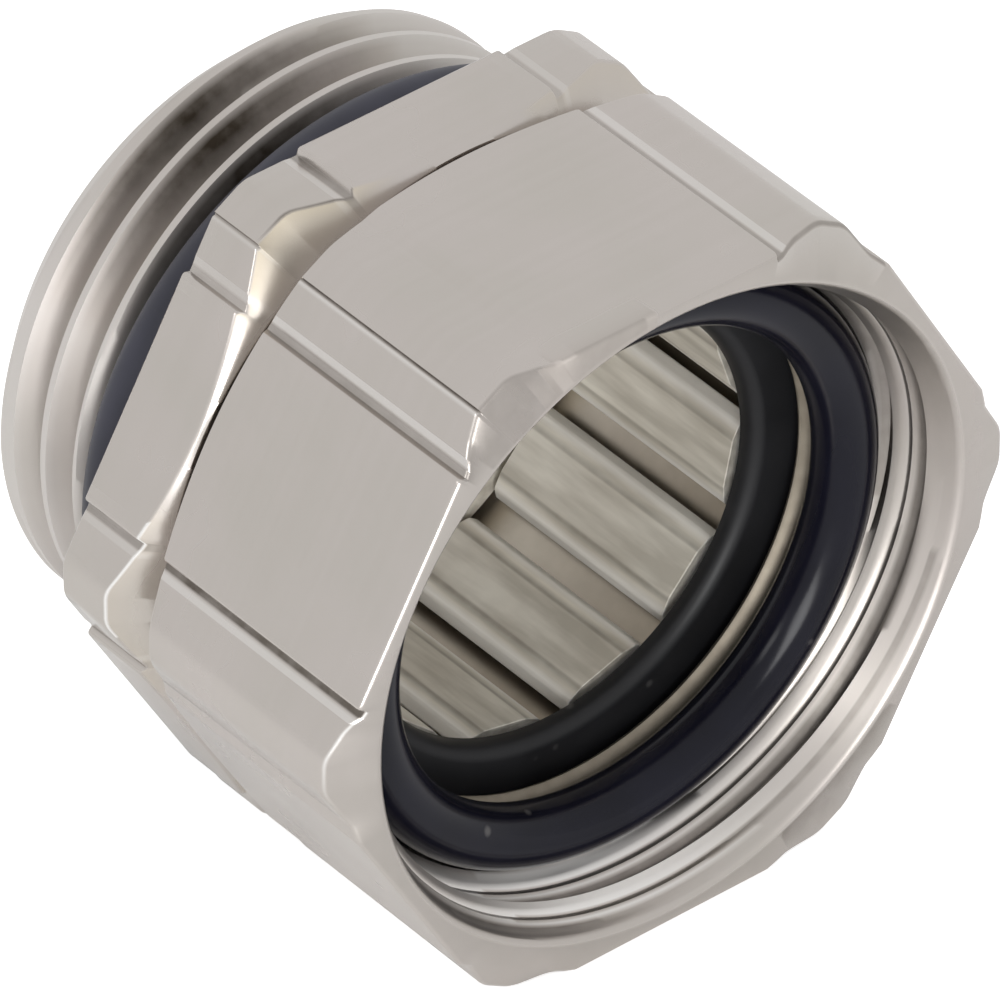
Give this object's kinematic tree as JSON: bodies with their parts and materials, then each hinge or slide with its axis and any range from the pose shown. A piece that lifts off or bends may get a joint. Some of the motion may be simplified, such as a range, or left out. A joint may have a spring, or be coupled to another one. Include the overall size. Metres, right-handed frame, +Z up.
{
  "type": "cable gland",
  "caption": "Plated brass cable gland with a threaded entry, a narrow hexagon, a compression nut with a threaded mouth, rubber sealing rings and a slotted clamping cage.",
  "frame": {"origin": "middle of the part on the surface that it lies on, under its axis", "axes": "+X along the gland's axis, out of the nut's mouth; +Y across two hexagon corners; +Z up across flats"},
  "size_m": [0.0198, 0.025, 0.0227],
  "materials": {
    "plated_brass": "satin",
    "cage_metal": "satin",
    "black_rubber": "satin"
  },
  "bodies": {
    "gland_body": {"gland_body": "plated_brass", "entry_o_ring": "black_rubber", "cage_ring": "cage_metal"},
    "seal_carrier": {"cable_seal": "black_rubber"},
    "nut": {"compression_nut": "plated_brass", "mouth_o_ring": "black_rubber"},
    "cage_finger_01": {"cage_finger_01": "cage_metal"},
    "cage_finger_02": {"cage_finger_02": "cage_metal"},
    "cage_finger_03": {"cage_finger_03": "cage_metal"},
    "cage_finger_04": {"cage_finger_04": "cage_metal"},
    "cage_finger_05": {"cage_finger_05": "cage_metal"},
    "cage_finger_06": {"cage_finger_06": "cage_metal"},
    "cage_finger_07": {"cage_finger_07": "cage_metal"},
    "cage_finger_08": {"cage_finger_08": "cage_metal"},
    "cage_finger_09": {"cage_finger_09": "cage_metal"},
    "cage_finger_10": {"cage_finger_10": "cage_metal"},
    "cage_finger_11": {"cage_finger_11": "cage_metal"},
    "cage_finger_12": {"cage_finger_12": "cage_metal"}
  },
  "joints": [
    {"name": "nut_travel", "type": "slide", "parent": "gland_body", "child": "seal_carrier", "axis": [1, 0, 0], "range_m": [0, 0.0025]},
    {"name": "nut_turn", "type": "hinge", "parent": "seal_carrier", "child": "nut", "pos_m": [0, 0, 0.01137], "axis": [1, 0, 0], "range_deg": [0, 720]},
    {"name": "finger_flex_01", "type": "hinge", "parent": "gland_body", "child": "cage_finger_01", "pos_m": [-0.00398, 0.00228, 0.00434], "axis": [0, -0.9511, -0.309], "range_deg": [0, 7], "stiffness_Nm_per_rad": 0.02},
    {"name": "finger_flex_02", "type": "hinge", "parent": "gland_body", "child": "cage_finger_02", "pos_m": [-0.00398, 0.00549, 0.00642], "axis": [0, -0.6691, -0.7431], "range_deg": [0, 7], "stiffness_Nm_per_rad": 0.02},
    {"name": "finger_flex_03", "type": "hinge", "parent": "gland_body", "child": "cage_finger_03", "pos_m": [-0.00398, 0.00723, 0.00983], "axis": [0, -0.2079, -0.9781], "range_deg": [0, 7], "stiffness_Nm_per_rad": 0.02},
    {"name": "finger_flex_04", "type": "hinge", "parent": "gland_body", "child": "cage_finger_04", "pos_m": [-0.00398, 0.00703, 0.01365], "axis": [0, 0.309, -0.9511], "range_deg": [0, 7], "stiffness_Nm_per_rad": 0.02},
    {"name": "finger_flex_05", "type": "hinge", "parent": "gland_body", "child": "cage_finger_05", "pos_m": [-0.00398, 0.00495, 0.01686], "axis": [0, 0.7431, -0.6691], "range_deg": [0, 7], "stiffness_Nm_per_rad": 0.02},
    {"name": "finger_flex_06", "type": "hinge", "parent": "gland_body", "child": "cage_finger_06", "pos_m": [-0.00398, 0.00154, 0.0186], "axis": [0, 0.9781, -0.2079], "range_deg": [0, 7], "stiffness_Nm_per_rad": 0.02},
    {"name": "finger_flex_07", "type": "hinge", "parent": "gland_body", "child": "cage_finger_07", "pos_m": [-0.00398, -0.00228, 0.0184], "axis": [0, 0.9511, 0.309], "range_deg": [0, 7], "stiffness_Nm_per_rad": 0.02},
    {"name": "finger_flex_08", "type": "hinge", "parent": "gland_body", "child": "cage_finger_08", "pos_m": [-0.00398, -0.00549, 0.01632], "axis": [0, 0.6691, 0.7431], "range_deg": [0, 7], "stiffness_Nm_per_rad": 0.02},
    {"name": "finger_flex_09", "type": "hinge", "parent": "gland_body", "child": "cage_finger_09", "pos_m": [-0.00398, -0.00723, 0.01291], "axis": [0, 0.2079, 0.9781], "range_deg": [0, 7], "stiffness_Nm_per_rad": 0.02},
    {"name": "finger_flex_10", "type": "hinge", "parent": "gland_body", "child": "cage_finger_10", "pos_m": [-0.00398, -0.00703, 0.00909], "axis": [0, -0.309, 0.9511], "range_deg": [0, 7], "stiffness_Nm_per_rad": 0.02},
    {"name": "finger_flex_11", "type": "hinge", "parent": "gland_body", "child": "cage_finger_11", "pos_m": [-0.00398, -0.00495, 0.00588], "axis": [0, -0.7431, 0.6691], "range_deg": [0, 7], "stiffness_Nm_per_rad": 0.02},
    {"name": "finger_flex_12", "type": "hinge", "parent": "gland_body", "child": "cage_finger_12", "pos_m": [-0.00398, -0.00154, 0.00414], "axis": [0, -0.9781, 0.2079], "range_deg": [0, 7], "stiffness_Nm_per_rad": 0.02}
  ],
  "couplings": [
    {"joint": "nut_travel", "follows": "nut_turn", "m_per_rad": 0.00019894},
    {"joint": "finger_flex_02", "follows": "finger_flex_01", "ratio": 1},
    {"joint": "finger_flex_03", "follows": "finger_flex_01", "ratio": 1},
    {"joint": "finger_flex_04", "follows": "finger_flex_01", "ratio": 1},
    {"joint": "finger_flex_05", "follows": "finger_flex_01", "ratio": 1},
    {"joint": "finger_flex_06", "follows": "finger_flex_01", "ratio": 1},
    {"joint": "finger_flex_07", "follows": "finger_flex_01", "ratio": 1},
    {"joint": "finger_flex_08", "follows": "finger_flex_01", "ratio": 1},
    {"joint": "finger_flex_09", "follows": "finger_flex_01", "ratio": 1},
    {"joint": "finger_flex_10", "follows": "finger_flex_01", "ratio": 1},
    {"joint": "finger_flex_11", "follows": "finger_flex_01", "ratio": 1},
    {"joint": "finger_flex_12", "follows": "finger_flex_01", "ratio": 1}
  ]
}
